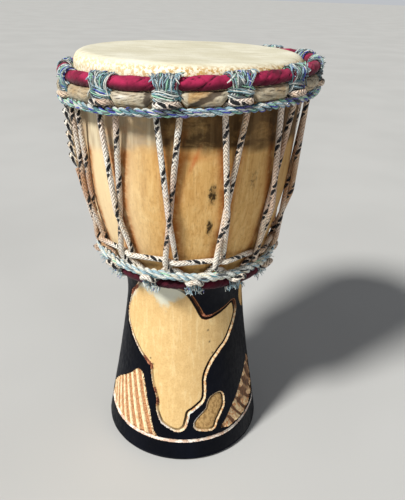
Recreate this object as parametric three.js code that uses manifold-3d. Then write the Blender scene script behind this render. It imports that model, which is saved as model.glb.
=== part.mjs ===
// Small goblet drum, carved from one log and laced with cord.
// Millimetres, +Z up, origin at the centre of the foot's underside.
// Angles go round the drum in degrees, from the front (-Y) towards +X.

import * as THREE from 'three';
import { mergeVertices } from 'three/addons/utils/BufferGeometryUtils.js';
import Module from 'manifold-3d';

const manifold = await Module();
manifold.setup();

// Driving dimensions of the drum
const HEIGHT = 400;
const SKIN = 1;
const EDGE_ROUND = 10;
const SIDE_RADIUS = 100;
const THROAT_RADIUS = 42;
const SKIN_CLEAR = 0.9;
const FOOT_CHAMFER = 2;

// The lacing: pairs of legs, spaced evenly round the bowl
const PAIRS = 13;
const PITCH = 360 / PAIRS;
const FRONT_PAIR = -8.3;
const TAIL_ANGLE = FRONT_PAIR - 2.5 * PITCH;
const CORD = 4.8;

// Rings, each as the radius and height of its centre line and its own thickness
const CROWN_RING = { radius: 108.6, height: 388, thick: 10 };
const HIDE_ROLL = { radius: 109, height: 377, thick: 10.6, raise: 2.6, squeeze: 0.44 };
const UPPER_ROPE = { radius: 112, height: 368.4, thick: 5.8 };
const LOWER_ROPE = { radius: 85.5, height: 221, thick: 6 };
const BASE_RING = { radius: 78.2, height: 209.6, thick: 8.8 };

// Where the skin leaves the bowl's side for the roll, and how far from the side its two faces are
const SKIRT = { height: 382, drop: 2, outer: 0.4, inner: 0.7 };

// The upper rings sit a little low on the left, and the lower ones on the right
const UPPER_LEAN = 0.055;
const LOWER_LEAN = -0.02;

// Facets: columns round the shell and round each ring
const SHELL_COLUMNS = 32;
const RING_COLUMNS = 3 * PAIRS;
const CORD_SIDES = 5;

// Wall of the shell: radius and height where the outline bends
const OUTSIDE = [
  [84, 6], [80, 30], [72, 76], [67, 108], [62.5, 140], [60, 168], [62.8, 190],
  [71, 210], [80, 230], [90, 270], [94.8, 300], [97.3, 335], [98.1, 375], [98.1, 390],
];
const INSIDE = [
  [68, 0], [58, 60], [47, 130], [THROAT_RADIUS, 172], [46, 192], [60, 212],
  [72, 238], [80, 270], [84.5, 310], [86.5, 388],
];
const OUTSIDE_ROWS = [4, 50, 80, 140, 168, 190, 202, 214, 230, 252, 284, 325, 375];
const INSIDE_ROWS = [388, 300, 250, 224, 200, 172, 120, 0];

// The carved decoration on the stem: a line round the foot, the outline of Africa,
// the island beside it, and a fluted panel and a gouged one
const FOOT_LINE = { height: 24.5, half: 1.7, depth: 1.6 };
const COAST = [
  [-48, 188], [-64, 171], [-71, 147], [-62, 131], [-40, 113.5], [-30, 103], [-26.5, 86],
  [-21, 66], [-18, 48], [-8, 37], [1, 41], [4, 57], [14, 67.5], [17.5, 84], [21, 105],
  [38, 127], [52, 145], [57, 156], [53, 168], [40, 165], [24, 159.5], [15, 165],
  [8, 181], [-3, 195], [-20, 199],
];
const ISLAND = [[28, 73], [33, 66], [33, 56], [24, 36], [13, 38], [11, 46], [18, 58], [22, 68]];
const LINE_STEP = 13;
const LINE_SIDES = 4;
const LINE_RAISE = 0.4;
const COAST_GOUGE = 2.3;
const ISLAND_GOUGE = 1.7;
const FLUTES = { first: -69.5, pitch: 7.4, low: 31, lean: 0.3, radius: 6, depth: 1.9 };
const FLUTE_TOPS = [47, 56, 65, 74, 83, 89, 74];
const GOUGES = {
  count: 5, first: 38, pitch: 8.6, slant: -2, low: 35, climb: 2, rise: 8.5, growth: 0.5, radius: 7,
  depth: 1.8,
};

// One pitch of the cord, as angle from the pair's middle, radius and height: up from the lower
// turn, over the upper rope and down to the next lower turn, the two legs crossing on the way
const LACING = [
  [-12.4, 91.4, 219.4], [-10.4, 88.9, 215.6], [-9, 82.7, 215.2], [-7, 79.3, 220.2],
  [-2.2, 82.6, 229.2], [2.8, 85.2, 236.6], [0, 99.8, 281], [-4.7, 105.7, 364],
  [-4.9, 106.3, 369.9], [-4.4, 109.9, 374.1], [-3.2, 115.6, 374.3], [3.2, 115.6, 374.3],
  [4.4, 109.9, 374.1], [4.9, 106.3, 369.9], [4.7, 105.7, 364], [0, 94.9, 281],
  [-3, 90.6, 236.5], [-2.5, 88.7, 230.8], [-0.4, 86.1, 227.1], [2.6, 81.4, 225.2],
  [7, 79.3, 220.2], [9, 82.7, 215.2], [10.4, 88.9, 215.6], [12.4, 91.4, 219.4],
];
// One pitch of the level run that holds the crossings, behind one leg and over the other
const LEVEL_RUN = [[-3, 85.3, 236.2], [2.8, 90.5, 236.2]];
// In place of its last points, the last leg rises to the level run
const RISE = [[-4.5, 81.6, 226], [-1, 84.2, 232], [5, 85.6, 236.2]];
// The tail rises between two pairs and is chained up under the upper rope
const TAIL = [[-5, 88, 236.2], [-1, 88.6, 240], [0, 92, 252], [0, 97, 275], [0, 102.5, 300]];
const CHAIN = { from: [0, 102.5, 298], to: [0, 106.4, 360], thick: 9 };

// Bands of yarn round each ring, from one angle of its section to another. The upper ones go on
// down over the rolled skin
const CROWN_BAND = { width: 16, thick: 2, clear: 0.7, from: 0, to: 205, foot: 378.2, flare: 1 };
const BASE_BAND = { width: 11, thick: 1.6, clear: 0.6, from: -150, to: 30 };

const WOOD = { color: 0xc9a066, roughness: 0.7, metalness: 0 };
const HIDE = { color: 0xe6dcb8, roughness: 0.75, metalness: 0 };
const RED_CLOTH = { color: 0xa3203f, roughness: 0.9, metalness: 0 };
const YARN = { color: 0x8fb3bf, roughness: 0.95, metalness: 0 };
const CREAM_CORD = { color: 0xe8dfc8, roughness: 0.9, metalness: 0 };

const drum = new THREE.Group();

function addPiece(name, geometry, look) {
  const mesh = new THREE.Mesh(geometry, new THREE.MeshStandardMaterial(look));
  mesh.name = name;
  drum.add(mesh);
}

// A point from its angle, radius and height
function around(angle, radius, height) {
  const turn = THREE.MathUtils.degToRad(angle);
  return new THREE.Vector3(radius * Math.sin(turn), -radius * Math.cos(turn), height);
}

// How far each ring's lean lifts a point, blending from the lower rings to the upper ones
function lift(point) {
  const share = (point.z - LOWER_ROPE.height) / (UPPER_ROPE.height - LOWER_ROPE.height);
  const lean = THREE.MathUtils.lerp(LOWER_LEAN, UPPER_LEAN, THREE.MathUtils.clamp(share, 0, 1));
  return point.x * lean;
}

// Move every vertex of a geometry by a function that changes the point it is given
function reshape(geometry, change) {
  const position = geometry.attributes.position;
  const point = new THREE.Vector3();
  for (let i = 0; i < position.count; i += 1) {
    point.fromBufferAttribute(position, i);
    change(point);
    position.setXYZ(i, point.x, point.y, point.z);
  }
  return geometry;
}

function bareGeometry(geometry) {
  geometry.deleteAttribute('normal');
  geometry.deleteAttribute('uv');
  return mergeVertices(geometry, 1e-4);
}

function solidOf(geometry) {
  const bare = bareGeometry(geometry);
  const mesh = new manifold.Mesh({
    numProp: 3,
    vertProperties: new Float32Array(bare.attributes.position.array),
    triVerts: new Uint32Array(bare.index.array),
  });
  return new manifold.Manifold(mesh);
}

function geometryOf(solid) {
  const mesh = solid.getMesh();
  const geometry = new THREE.BufferGeometry();
  geometry.setAttribute('position', new THREE.BufferAttribute(mesh.vertProperties, 3));
  geometry.setIndex(new THREE.BufferAttribute(mesh.triVerts, 1));
  return geometry;
}

// Radius of a wall at a height, on a smooth curve through its stations
function radiusAt(stations, height) {
  const last = stations.length - 1;
  let i = stations.findIndex((station) => station[1] > height) - 1;
  if (i < 0) i = height < stations[0][1] ? 0 : last - 1;
  const slope = (k) => {
    const before = stations[Math.max(k - 1, 0)];
    const after = stations[Math.min(k + 1, last)];
    return (after[0] - before[0]) / (after[1] - before[1]);
  };
  const [r0, z0] = stations[i];
  const [r1, z1] = stations[i + 1];
  const span = z1 - z0;
  const t = THREE.MathUtils.clamp((height - z0) / span, 0, 1);
  const rise = (2 * t - 3) * t * t + 1;
  return rise * r0 + (1 - rise) * r1
    + span * t * (1 - t) * ((1 - t) * slope(i) - t * slope(i + 1));
}

const outside = (height) => radiusAt(OUTSIDE, height);
const inside = (height) => radiusAt(INSIDE, height);

// Revolve a profile of [radius, height] about the drum's axis, a column at the given angle
function revolve(profile, columns, firstAngle) {
  const points = profile.map(([radius, height]) => new THREE.Vector2(radius, height));
  const start = THREE.MathUtils.degToRad(firstAngle);
  return new THREE.LatheGeometry(points, columns, start).rotateX(Math.PI / 2);
}

// Points on an arc in the profile plane
function arc(radius, height, size, from, to, steps) {
  return Array.from({ length: steps + 1 }, (_, i) => {
    const turn = THREE.MathUtils.degToRad(from + (to - from) * i / steps);
    return [radius + size * Math.cos(turn), height + size * Math.sin(turn)];
  });
}

// The bearing edge is a quarter round, just clear of the skin over it
const edgeCentre = { radius: SIDE_RADIUS - EDGE_ROUND, height: HEIGHT - EDGE_ROUND };
const woodRound = EDGE_ROUND - SKIN - SKIN_CLEAR;

function lineRow(offset, depth) {
  const height = FOOT_LINE.height + offset;
  return [outside(height) - depth, height];
}

function plainShell() {
  const { half, depth } = FOOT_LINE;
  const profile = [
    ...INSIDE_ROWS.toReversed().map((height) => [inside(height), height]),
    ...arc(edgeCentre.radius, edgeCentre.height, woodRound, 90, 0, 2),
    ...OUTSIDE_ROWS.slice(1).toReversed().map((height) => [outside(height), height]),
    lineRow(half, 0), lineRow(0, depth), lineRow(-half, 0),
    [outside(OUTSIDE_ROWS[0]), OUTSIDE_ROWS[0]],
    [outside(0) - FOOT_CHAMFER, 0],
  ];
  return revolve([...profile, profile[0]].toReversed(), SHELL_COLUMNS, FRONT_PAIR);
}

// A smooth closed line on the stem, through points of angle and height
function stemLine(points) {
  const onStem = points.map(([angle, height]) => around(angle, outside(height) + LINE_RAISE, height));
  return new THREE.CatmullRomCurve3(onStem, true);
}

function gougedLine(points, size) {
  const line = stemLine(points);
  const steps = Math.round(line.getLength() / LINE_STEP);
  return new THREE.TubeGeometry(line, steps, size, LINE_SIDES, true);
}

// A straight round cut between two places on the stem
function gougedStroke(from, to, size, depth) {
  const place = ([angle, height]) => around(angle, outside(height) + size - depth, height);
  const a = place(from);
  const b = place(to);
  const stroke = new THREE.CylinderGeometry(size, size, a.distanceTo(b), 8);
  const along = b.clone().sub(a).normalize();
  stroke.applyQuaternion(new THREE.Quaternion().setFromUnitVectors(THREE.Object3D.DEFAULT_UP, along));
  return stroke.translate(...a.add(b).multiplyScalar(0.5).toArray());
}

function carvedShell() {
  const cuts = [gougedLine(COAST, COAST_GOUGE), gougedLine(ISLAND, ISLAND_GOUGE)];
  FLUTE_TOPS.forEach((top, i) => {
    const angle = FLUTES.first + i * FLUTES.pitch;
    const low = [angle, FLUTES.low];
    const high = [angle - (top - FLUTES.low) * FLUTES.lean, top];
    cuts.push(gougedStroke(low, high, FLUTES.radius, FLUTES.depth));
  });
  for (let i = 0; i < GOUGES.count; i += 1) {
    const low = [GOUGES.first + i * GOUGES.pitch, GOUGES.low + i * GOUGES.climb];
    const high = [low[0] + GOUGES.slant, low[1] + GOUGES.rise * (1 + i * GOUGES.growth)];
    cuts.push(gougedStroke(low, high, GOUGES.radius, GOUGES.depth));
  }
  return cuts.reduce((shell, cut) => shell.subtract(solidOf(cut)), solidOf(plainShell()));
}

// Rings have columns beside each pair's middle and halfway to the next. Where the cord passes, the
// rolled skin is squeezed by the share that this gives: 1 beside a pair and 0 halfway
function nearPair(point) {
  const angle = THREE.MathUtils.radToDeg(Math.atan2(point.x, -point.y)) - FRONT_PAIR;
  const off = Math.abs(THREE.MathUtils.euclideanModulo(angle + PITCH / 2, PITCH) - PITCH / 2);
  return THREE.MathUtils.clamp((PITCH / 2 - off) / (PITCH / 3), 0, 1);
}

function ring({ radius, height, thick }, sides, middle) {
  const section = arc(radius, height, thick / 2, 0, 360, sides);
  section[sides] = section[0];
  const geometry = revolve(section, RING_COLUMNS, middle + PITCH / 6);
  return reshape(geometry, (point) => {
    point.z += lift(point);
  });
}

// The head: a tight skin over the bearing edge and down the side, its rim rolled up round the
// flesh hoop. The roll is squeezed and raised beside each pair
function goatskinHead() {
  const { radius, height, thick, raise, squeeze } = HIDE_ROLL;
  const profile = [
    [0, HEIGHT],
    ...arc(edgeCentre.radius, edgeCentre.height, EDGE_ROUND, 90, 0, 3),
    [SIDE_RADIUS + SKIRT.outer, SKIRT.height],
    ...arc(radius, height, thick / 2, 150, -165, 5),
    [SIDE_RADIUS - SKIRT.inner, SKIRT.height - SKIRT.drop],
    ...arc(edgeCentre.radius, edgeCentre.height, EDGE_ROUND - SKIN, 0, 90, 3),
    [0, HEIGHT - SKIN],
  ];
  const geometry = revolve(profile.toReversed(), RING_COLUMNS, FRONT_PAIR + PITCH / 6);
  return reshape(geometry, (point) => {
    if (point.z > SKIRT.height + 1) return;
    const distance = Math.hypot(point.x, point.y);
    const share = distance > SIDE_RADIUS + 2 ? nearPair(point) : 0;
    const size = 1 - share * squeeze;
    const scale = (radius + (distance - radius) * size) / distance;
    const raised = height + (point.z - height) * size + share * raise;
    point.set(point.x * scale, point.y * scale, raised);
    point.z += lift(point);
  });
}

// A cord's route visits the points it is given, one extrusion step to each
class Route extends THREE.Curve {
  constructor(points) {
    super();
    this.points = points;
  }

  getPoint(t) {
    const place = t * (this.points.length - 1);
    const i = Math.min(Math.floor(place), this.points.length - 2);
    return this.points[i].clone().lerp(this.points[i + 1], place - i);
  }

  getPointAt(u) {
    return this.getPoint(u);
  }

  getTangentAt(u) {
    return this.getTangent(u);
  }

  getTangent(t) {
    const place = Math.round(t * (this.points.length - 1));
    const before = this.points[Math.max(place - 1, 0)];
    const after = this.points[Math.min(place + 1, this.points.length - 1)];
    const arrive = this.points[place].clone().sub(before).normalize();
    const leave = after.clone().sub(this.points[place]).normalize();
    return arrive.add(leave).normalize();
  }
}

function tube(points, thick) {
  const section = new THREE.Shape().setFromPoints(
    arc(0, 0, thick / 2, 0, 360 - 360 / CORD_SIDES, CORD_SIDES - 1)
      .map(([x, y]) => new THREE.Vector2(x, y)),
  );
  const route = new Route(points);
  return new THREE.ExtrudeGeometry(section, { steps: points.length - 1, extrudePath: route });
}

function leaning([angle, radius, height], middle) {
  const point = around(middle + angle, radius, height);
  point.z += lift(point);
  return point;
}

// One length of cord: up and down round the bowl, once round level through the crossings, then
// up the left side, where what is left over is chained
function tensionCord() {
  const points = [];
  const firstPair = TAIL_ANGLE + PITCH / 2;
  for (let i = 0; i < PAIRS; i += 1) {
    points.push(...LACING.map((place) => leaning(place, firstPair + i * PITCH)));
  }
  points.splice(-RISE.length);
  points.push(...RISE.map((place) => leaning(place, TAIL_ANGLE)));
  for (let i = 0; i < PAIRS; i += 1) {
    points.push(...LEVEL_RUN.map((place) => leaning(place, firstPair + i * PITCH)));
  }
  points.push(...TAIL.map((place) => leaning(place, TAIL_ANGLE)));
  const chain = [CHAIN.from, CHAIN.to].map((place) => leaning(place, TAIL_ANGLE));
  return solidOf(tube(points, CORD)).add(solidOf(tube(chain, CHAIN.thick)));
}

// A band's outline in the profile plane, extruded across the ring at an angle round the drum
function band(outline, width, angle, middle) {
  const shape = new THREE.Shape(outline.map(([radius, height]) => new THREE.Vector2(radius, height)));
  const geometry = new THREE.ExtrudeGeometry(shape, { depth: width, bevelEnabled: false });
  geometry.translate(0, 0, -width / 2).rotateX(Math.PI / 2);
  geometry.rotateZ(THREE.MathUtils.degToRad(angle - 90));
  return reshape(geometry, (point) => {
    point.z += lift(point);
  });
}

function crownBand(angle) {
  const { radius, height, thick } = CROWN_RING;
  const { width, clear, from, to, foot, flare } = CROWN_BAND;
  const inner = thick / 2 + clear;
  const outer = inner + CROWN_BAND.thick;
  return band([
    ...arc(radius, height, outer, to, from, 5),
    [radius + outer + flare, foot + 4 * flare], [radius + outer, foot],
    [HIDE_ROLL.radius + inner, foot],
    ...arc(radius, height, inner, from, to, 5),
  ], width, angle);
}

function baseBand(angle) {
  const { radius, height, thick } = BASE_RING;
  const { width, clear, from, to } = BASE_BAND;
  const inner = thick / 2 + clear;
  const outer = inner + BASE_BAND.thick;
  return band([
    ...arc(radius, height, outer, from, to, 4),
    ...arc(radius, height, inner, to, from, 4),
  ], width, angle);
}

addPiece('carved_shell', geometryOf(carvedShell()), WOOD);
addPiece('goatskin_head', goatskinHead(), HIDE);
addPiece('crown_ring', ring(CROWN_RING, 6, FRONT_PAIR), RED_CLOTH);
addPiece('upper_rope', ring(UPPER_ROPE, 5, FRONT_PAIR), YARN);
addPiece('tension_cord', geometryOf(tensionCord()), CREAM_CORD);
addPiece('lower_rope', ring(LOWER_ROPE, 5, FRONT_PAIR + PITCH / 2), YARN);
addPiece('base_ring', ring(BASE_RING, 6, FRONT_PAIR), RED_CLOTH);
for (let i = 0; i < PAIRS; i += 1) {
  const number = String(i + 1).padStart(2, '0');
  addPiece(`crown_lashing_${number}`, crownBand(FRONT_PAIR + i * PITCH), YARN);
  addPiece(`base_lashing_${number}`, baseBand(FRONT_PAIR + (i + 0.5) * PITCH), YARN);
}

export default drum;
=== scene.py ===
# The looks of a small goblet drum: a carved and painted shell, a laced goatskin head, and cloth
# rings bound with yarn. Metres, +Z up, in the model's frame. Angles go round the drum in degrees,
# from the front (-Y) towards +X.

import math
from collections import defaultdict, namedtuple

import bpy
import numpy as np
from mathutils import Matrix, Vector, noise
from mathutils.kdtree import KDTree


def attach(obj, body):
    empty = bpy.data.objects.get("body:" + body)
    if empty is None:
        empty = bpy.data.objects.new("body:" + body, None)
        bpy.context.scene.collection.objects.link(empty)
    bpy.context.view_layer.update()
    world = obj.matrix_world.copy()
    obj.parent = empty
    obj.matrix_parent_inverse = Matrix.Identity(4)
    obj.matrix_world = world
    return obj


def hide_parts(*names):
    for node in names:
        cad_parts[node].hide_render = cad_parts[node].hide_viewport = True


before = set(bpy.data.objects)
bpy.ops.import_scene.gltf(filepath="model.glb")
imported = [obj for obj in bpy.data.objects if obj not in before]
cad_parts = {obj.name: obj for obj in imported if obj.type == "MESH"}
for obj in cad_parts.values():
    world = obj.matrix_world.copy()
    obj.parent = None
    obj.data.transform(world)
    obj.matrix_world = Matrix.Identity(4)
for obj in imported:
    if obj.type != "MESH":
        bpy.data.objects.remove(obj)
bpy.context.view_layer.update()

# Sizes of the model that the looks follow
Ring = namedtuple("Ring", "radius height thick")
HEIGHT = 0.400
SKIN = 0.001
EDGE_ROUND = 0.010
SIDE_RADIUS = 0.100
SKIN_CLEAR = 0.0009
SKIRT_HEIGHT = 0.382
PAIRS = 13
PITCH = 360 / PAIRS
FRONT_PAIR = -8.3
TAIL_ANGLE = FRONT_PAIR - 2.5 * PITCH
CORD = 0.0048
CROWN_RING = Ring(0.1086, 0.388, 0.010)
HIDE_ROLL = Ring(0.109, 0.377, 0.0106)
UPPER_ROPE = Ring(0.112, 0.3684, 0.0058)
LOWER_ROPE = Ring(0.0855, 0.221, 0.006)
BASE_RING = Ring(0.0782, 0.2096, 0.0088)
ROLL_RAISE = 0.0026
ROLL_SQUEEZE = 0.44
UPPER_LEAN = 0.055
LOWER_LEAN = -0.02

# Wall of the shell: radius and height where the outline bends
OUTSIDE = [
    (0.084, 0.006), (0.080, 0.030), (0.072, 0.076), (0.067, 0.108), (0.0625, 0.140), (0.060, 0.168),
    (0.0628, 0.190), (0.071, 0.210), (0.080, 0.230), (0.090, 0.270), (0.0948, 0.300), (0.0973, 0.335),
    (0.0981, 0.375), (0.0981, 0.390),
]
INSIDE = [
    (0.068, 0), (0.058, 0.060), (0.047, 0.130), (0.042, 0.172), (0.046, 0.192), (0.060, 0.212),
    (0.072, 0.238), (0.080, 0.270), (0.0845, 0.310), (0.0865, 0.388),
]
FOOT_ROUND = 0.004
FOOT_LINE = 0.0245

# One pitch of the cord, as angle from the pair's middle, radius and height: up from the lower turn,
# over the upper rope and down to the next lower turn, the two legs crossing on the way
CROSSING = 0.281
LACING = [
    (-12.4, 0.0914, 0.2194), (-10.4, 0.0889, 0.2156), (-9, 0.0827, 0.2152), (-7, 0.0793, 0.2202),
    (-2.2, 0.0826, 0.2292), (2.8, 0.0852, 0.2366), (0, 0.0998, CROSSING), (-4.7, 0.1057, 0.364),
    (-4.9, 0.1063, 0.3699), (-4.4, 0.1099, 0.3741), (-3.2, 0.1156, 0.3743), (3.2, 0.1156, 0.3743),
    (4.4, 0.1099, 0.3741), (4.9, 0.1063, 0.3699), (4.7, 0.1057, 0.364), (0, 0.0949, CROSSING),
    (-3, 0.0906, 0.2365), (-2.5, 0.0887, 0.2308), (-0.4, 0.0861, 0.2271), (2.6, 0.0814, 0.2252),
    (7, 0.0793, 0.2202), (9, 0.0827, 0.2152), (10.4, 0.0889, 0.2156), (12.4, 0.0914, 0.2194),
]
LEVEL_RUN = [(-3, 0.0853, 0.2362), (2.8, 0.0905, 0.2362)]
RISE = [(-4.5, 0.0816, 0.226), (-1, 0.0842, 0.232), (5, 0.0856, 0.2362)]
TAIL = [(-5, 0.088, 0.2362), (-1, 0.0886, 0.240), (0, 0.092, 0.252), (0, 0.097, 0.275), (0, 0.1025, 0.300)]
CHAIN = [(0, 0.1025, 0.298), (0, 0.1064, 0.360)]

# The carved pictures on the stem, as outlines of angle and height
MAP = [
    (-49, 0.187), (-62, 0.174), (-70, 0.158), (-72, 0.145), (-67, 0.136), (-59, 0.129), (-51, 0.122),
    (-43, 0.115), (-35, 0.108), (-30, 0.104), (-28.7, 0.099), (-27, 0.089), (-24, 0.078), (-21, 0.068),
    (-20.5, 0.057), (-17, 0.046), (-14, 0.042), (-5, 0.0365), (0.5, 0.040), (2.7, 0.049), (4, 0.057),
    (7, 0.060), (12, 0.065), (16, 0.070), (17.4, 0.078), (17.6, 0.093), (20, 0.103), (25, 0.113),
    (33, 0.122), (41, 0.129), (47.5, 0.138), (53, 0.146), (57, 0.156), (53, 0.168), (41.5, 0.165),
    (29, 0.161), (24, 0.160), (17, 0.162), (11, 0.174), (3.5, 0.188), (-1, 0.193), (-7, 0.197),
    (-14, 0.199), (-28, 0.201), (-40, 0.197),
]
ISLAND = [
    (31, 0.073), (34, 0.068), (34, 0.058), (31, 0.051), (27, 0.043), (24, 0.035), (16, 0.036),
    (11, 0.039), (10, 0.045), (14, 0.052), (19.5, 0.059), (21, 0.065), (24, 0.071),
]
RIB_PANEL = [
    (-79, 0.052), (-68, 0.066), (-60, 0.074), (-54, 0.080), (-48.5, 0.087), (-44, 0.093), (-39.5, 0.094),
    (-36, 0.090), (-32, 0.075), (-27, 0.054), (-22, 0.032), (-20, 0.025), (-45, 0.024), (-62, 0.025),
    (-80, 0.029), (-86, 0.038),
]
GOUGE_PANEL = [
    (88, 0.081), (81, 0.083), (75, 0.088), (61, 0.075), (52, 0.063), (43, 0.051), (36, 0.040), (31, 0.032),
    (39, 0.029), (56, 0.031), (70, 0.034), (84, 0.041), (91, 0.060),
]
BARE_STRIP = [(62, 0.196), (63, 0.178), (68, 0.160), (76, 0.150), (86, 0.156), (90, 0.175), (86, 0.198)]
OUTLINES = {"map": MAP, "island": ISLAND, "ribs": RIB_PANEL, "gouges": GOUGE_PANEL, "strip": BARE_STRIP}

# Distances to the carved edges are kept on the mesh in millimetres, up to FAR from an edge
MILLIMETRES = 1000
FAR = 0.009


def srgb(red, green, blue):
    """A linear colour with alpha from sRGB values of 0 to 255."""
    def linear(value):
        share = value / 255
        return share / 12.92 if share <= 0.04045 else ((share + 0.055) / 1.055) ** 2.4
    return (linear(red), linear(green), linear(blue), 1.0)


# Dyes of the yarns, and how common each is in the lashings and ropes
YARN_DYES = {
    "pale blue": srgb(158, 190, 203), "teal": srgb(82, 130, 140), "white": srgb(226, 229, 222),
    "grey": srgb(112, 122, 124), "mint": srgb(160, 214, 184), "ink": srgb(44, 52, 62),
    "cobalt": srgb(58, 66, 178), "violet": srgb(112, 104, 176), "maroon": srgb(122, 40, 60),
    "cream": srgb(228, 220, 196),
}
CROWN_DYES = {
    "pale blue": 5, "teal": 3, "white": 4, "grey": 4, "mint": 2, "ink": 1.6, "cobalt": 1, "maroon": 0.5,
}
ROLL_DYES = CROWN_DYES | {"grey": 6, "ink": 3, "teal": 4}
FRAY_DYES = {"pale blue": 4, "white": 4, "grey": 3, "mint": 1, "cobalt": 0.7, "violet": 0.5}
BASE_DYES = {"pale blue": 5, "white": 5, "grey": 2.5, "teal": 1.5, "cobalt": 0.5, "ink": 1}
BASE_FRAY_DYES = {"pale blue": 5, "white": 6, "cobalt": 0.4}
UPPER_ROPE_DYES = {
    "pale blue": 4, "teal": 3, "white": 4, "mint": 2.5, "cobalt": 1.6, "violet": 1.2, "grey": 2.5, "ink": 1.2,
}
LOWER_ROPE_DYES = {"white": 12, "pale blue": 5, "cream": 3, "grey": 1.5, "teal": 0.5, "mint": 0.8, "ink": 0.5}


# Placing points round the drum

def around(angle, radius, height):
    """Points from angles in degrees, radii and heights, each a number or an array."""
    turn = np.radians(angle)
    parts = np.broadcast_arrays(radius * np.sin(turn), -radius * np.cos(turn), height)
    return np.stack(parts, -1).astype(float)


def outward(angle, distance):
    """Moves straight away from the drum's axis."""
    return around(angle, 1.0, 0.0) * distance[..., None]


def leaning(points):
    """Points lifted by the rings' lean, which blends from the lower rings to the upper ones."""
    span = UPPER_ROPE.height - LOWER_ROPE.height
    share = np.clip((points[..., 2] - LOWER_ROPE.height) / span, 0, 1)
    lifted = points.copy()
    lifted[..., 2] += points[..., 0] * (LOWER_LEAN + (UPPER_LEAN - LOWER_LEAN) * share)
    return lifted


def smoothstep(low, high, value):
    share = np.clip((value - low) / (high - low), 0, 1)
    return share * share * (3 - 2 * share)


def from_pair(angle, middle=FRONT_PAIR):
    """Degrees from the nearest pair of legs, when one pair's middle is at middle."""
    return (angle - middle + PITCH / 2) % PITCH - PITCH / 2


def near_pair(angle, middle=FRONT_PAIR, near=PITCH / 6, far=PITCH / 2):
    """1 nearer than near to a pair of legs, and 0 beyond far."""
    return smoothstep(far, near, np.abs(from_pair(angle, middle)))


def bell(value, middle, half):
    """1 where value is at the middle, fading on both sides."""
    return np.exp(-((value - middle) / half) ** 2)


def spots(angles, heights, *places):
    """The strongest of soft spots, each a strength, an angle, a height and how wide and tall it is."""
    return np.maximum.reduce([
        strength * np.exp(-((angles - angle) / wide) ** 2 - ((heights - height) / tall) ** 2)
        for strength, angle, height, wide, tall in places
    ])


def radius_at(stations, heights):
    """Radius of a wall at heights, on a smooth curve through its stations."""
    radii, levels = np.array(stations).T
    slopes = np.empty(len(radii))
    slopes[1:-1] = (radii[2:] - radii[:-2]) / (levels[2:] - levels[:-2])
    slopes[0] = (radii[1] - radii[0]) / (levels[1] - levels[0])
    slopes[-1] = (radii[-1] - radii[-2]) / (levels[-1] - levels[-2])
    i = np.clip(np.searchsorted(levels, heights, "right") - 1, 0, len(levels) - 2)
    span = levels[i + 1] - levels[i]
    t = np.clip((heights - levels[i]) / span, 0, 1)
    fall = (2 * t - 3) * t * t + 1
    return (fall * radii[i] + (1 - fall) * radii[i + 1]
            + span * t * (1 - t) * ((1 - t) * slopes[i] - t * slopes[i + 1]))


def arc(radius, height, size, first, last, steps):
    """Points of radius and height on an arc in the profile plane."""
    turn = np.radians(np.linspace(first, last, steps + 1))
    return np.stack([radius + size * np.cos(turn), height + size * np.sin(turn)], -1)


def on_ring(ring, size, turn):
    """Radii and heights at a distance from a ring's middle line, for turns round its section."""
    return ring.radius + size * np.cos(turn), ring.height + size * np.sin(turn)


def noise_of(points, scale, seed):
    """Smooth noise from -1 to 1 at each point."""
    flat = (points.reshape(-1, 3) * scale + 17.3 * seed).tolist()
    return np.array([noise.noise(p) for p in flat]).reshape(points.shape[:-1])


def drift_of(points, scale, seed):
    """A smooth wandering move for each point."""
    return np.stack([noise_of(points, scale, seed + k) for k in range(3)], -1)


def unit(vectors):
    return vectors / np.maximum(np.linalg.norm(vectors, axis=-1, keepdims=True), 1e-12)


# Lines: cords and yarns

def routed(points, step, softness):
    """A line through points with its corners rounded, in even steps."""
    lengths = np.concatenate([[0], np.cumsum(np.linalg.norm(np.diff(points, axis=0), axis=1))])
    at = np.linspace(0, lengths[-1], int(lengths[-1] / step))
    line = np.stack([np.interp(at, lengths, points[:, k]) for k in range(3)], -1)
    reach = int(3 * softness / step)
    weights = np.exp(-0.5 * (np.arange(-reach, reach + 1) * step / softness) ** 2)
    padded = np.pad(line, ((reach, reach), (0, 0)), "edge")
    return np.stack([np.convolve(padded[:, k], weights / weights.sum(), "valid") for k in range(3)], -1)


def swung(across, other, turn):
    """The direction at a turn between two others."""
    return across * np.cos(turn)[..., None] + other * np.sin(turn)[..., None]


def across_line(vectors, along):
    """Vectors without their part along a line."""
    return vectors - along * np.sum(vectors * along, -1, keepdims=True)


def carried_frames(lines, closed=False):
    """Two directions across each line at each step, carried along it without twist."""
    if closed:
        along = unit(np.roll(lines, -1, 1) - np.roll(lines, 1, 1))
    else:
        along = unit(np.gradient(lines, axis=1))
    across = np.empty_like(lines)
    helper = np.where(np.abs(along[:, 0, 2:]) < 0.8, [[0, 0, 1.0]], [[1.0, 0, 0]])
    across[:, 0] = unit(np.cross(along[:, 0], helper))
    for i in range(1, lines.shape[1]):
        across[:, i] = unit(across_line(across[:, i - 1], along[:, i]))
    if closed:
        last = across_line(across[:, -1], along[:, 0])
        side = np.cross(along[:, 0], across[:, 0])
        miss = np.arctan2(np.sum(last * side, -1), np.sum(last * across[:, 0], -1))
        turn = -miss[:, None] * np.arange(lines.shape[1]) / lines.shape[1]
        across = swung(across, np.cross(along, across), turn)
    return across, np.cross(along, across)


def wound(lines, offset, turns, count):
    """count closed lines wound round each of the closed lines, making that many turns."""
    across, other = carried_frames(lines, closed=True)
    share = np.arange(lines.shape[1]) / lines.shape[1]
    return np.concatenate([
        lines + offset * swung(across, other, 2 * np.pi * (turns * share + k / count)) for k in range(count)
    ])


def tangled(lines, size, scale, seed):
    """The lines, each wandering a little on its own."""
    apart = lines + 0.1 * np.arange(len(lines))[:, None, None]
    return lines + size * drift_of(apart, scale, seed)


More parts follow.
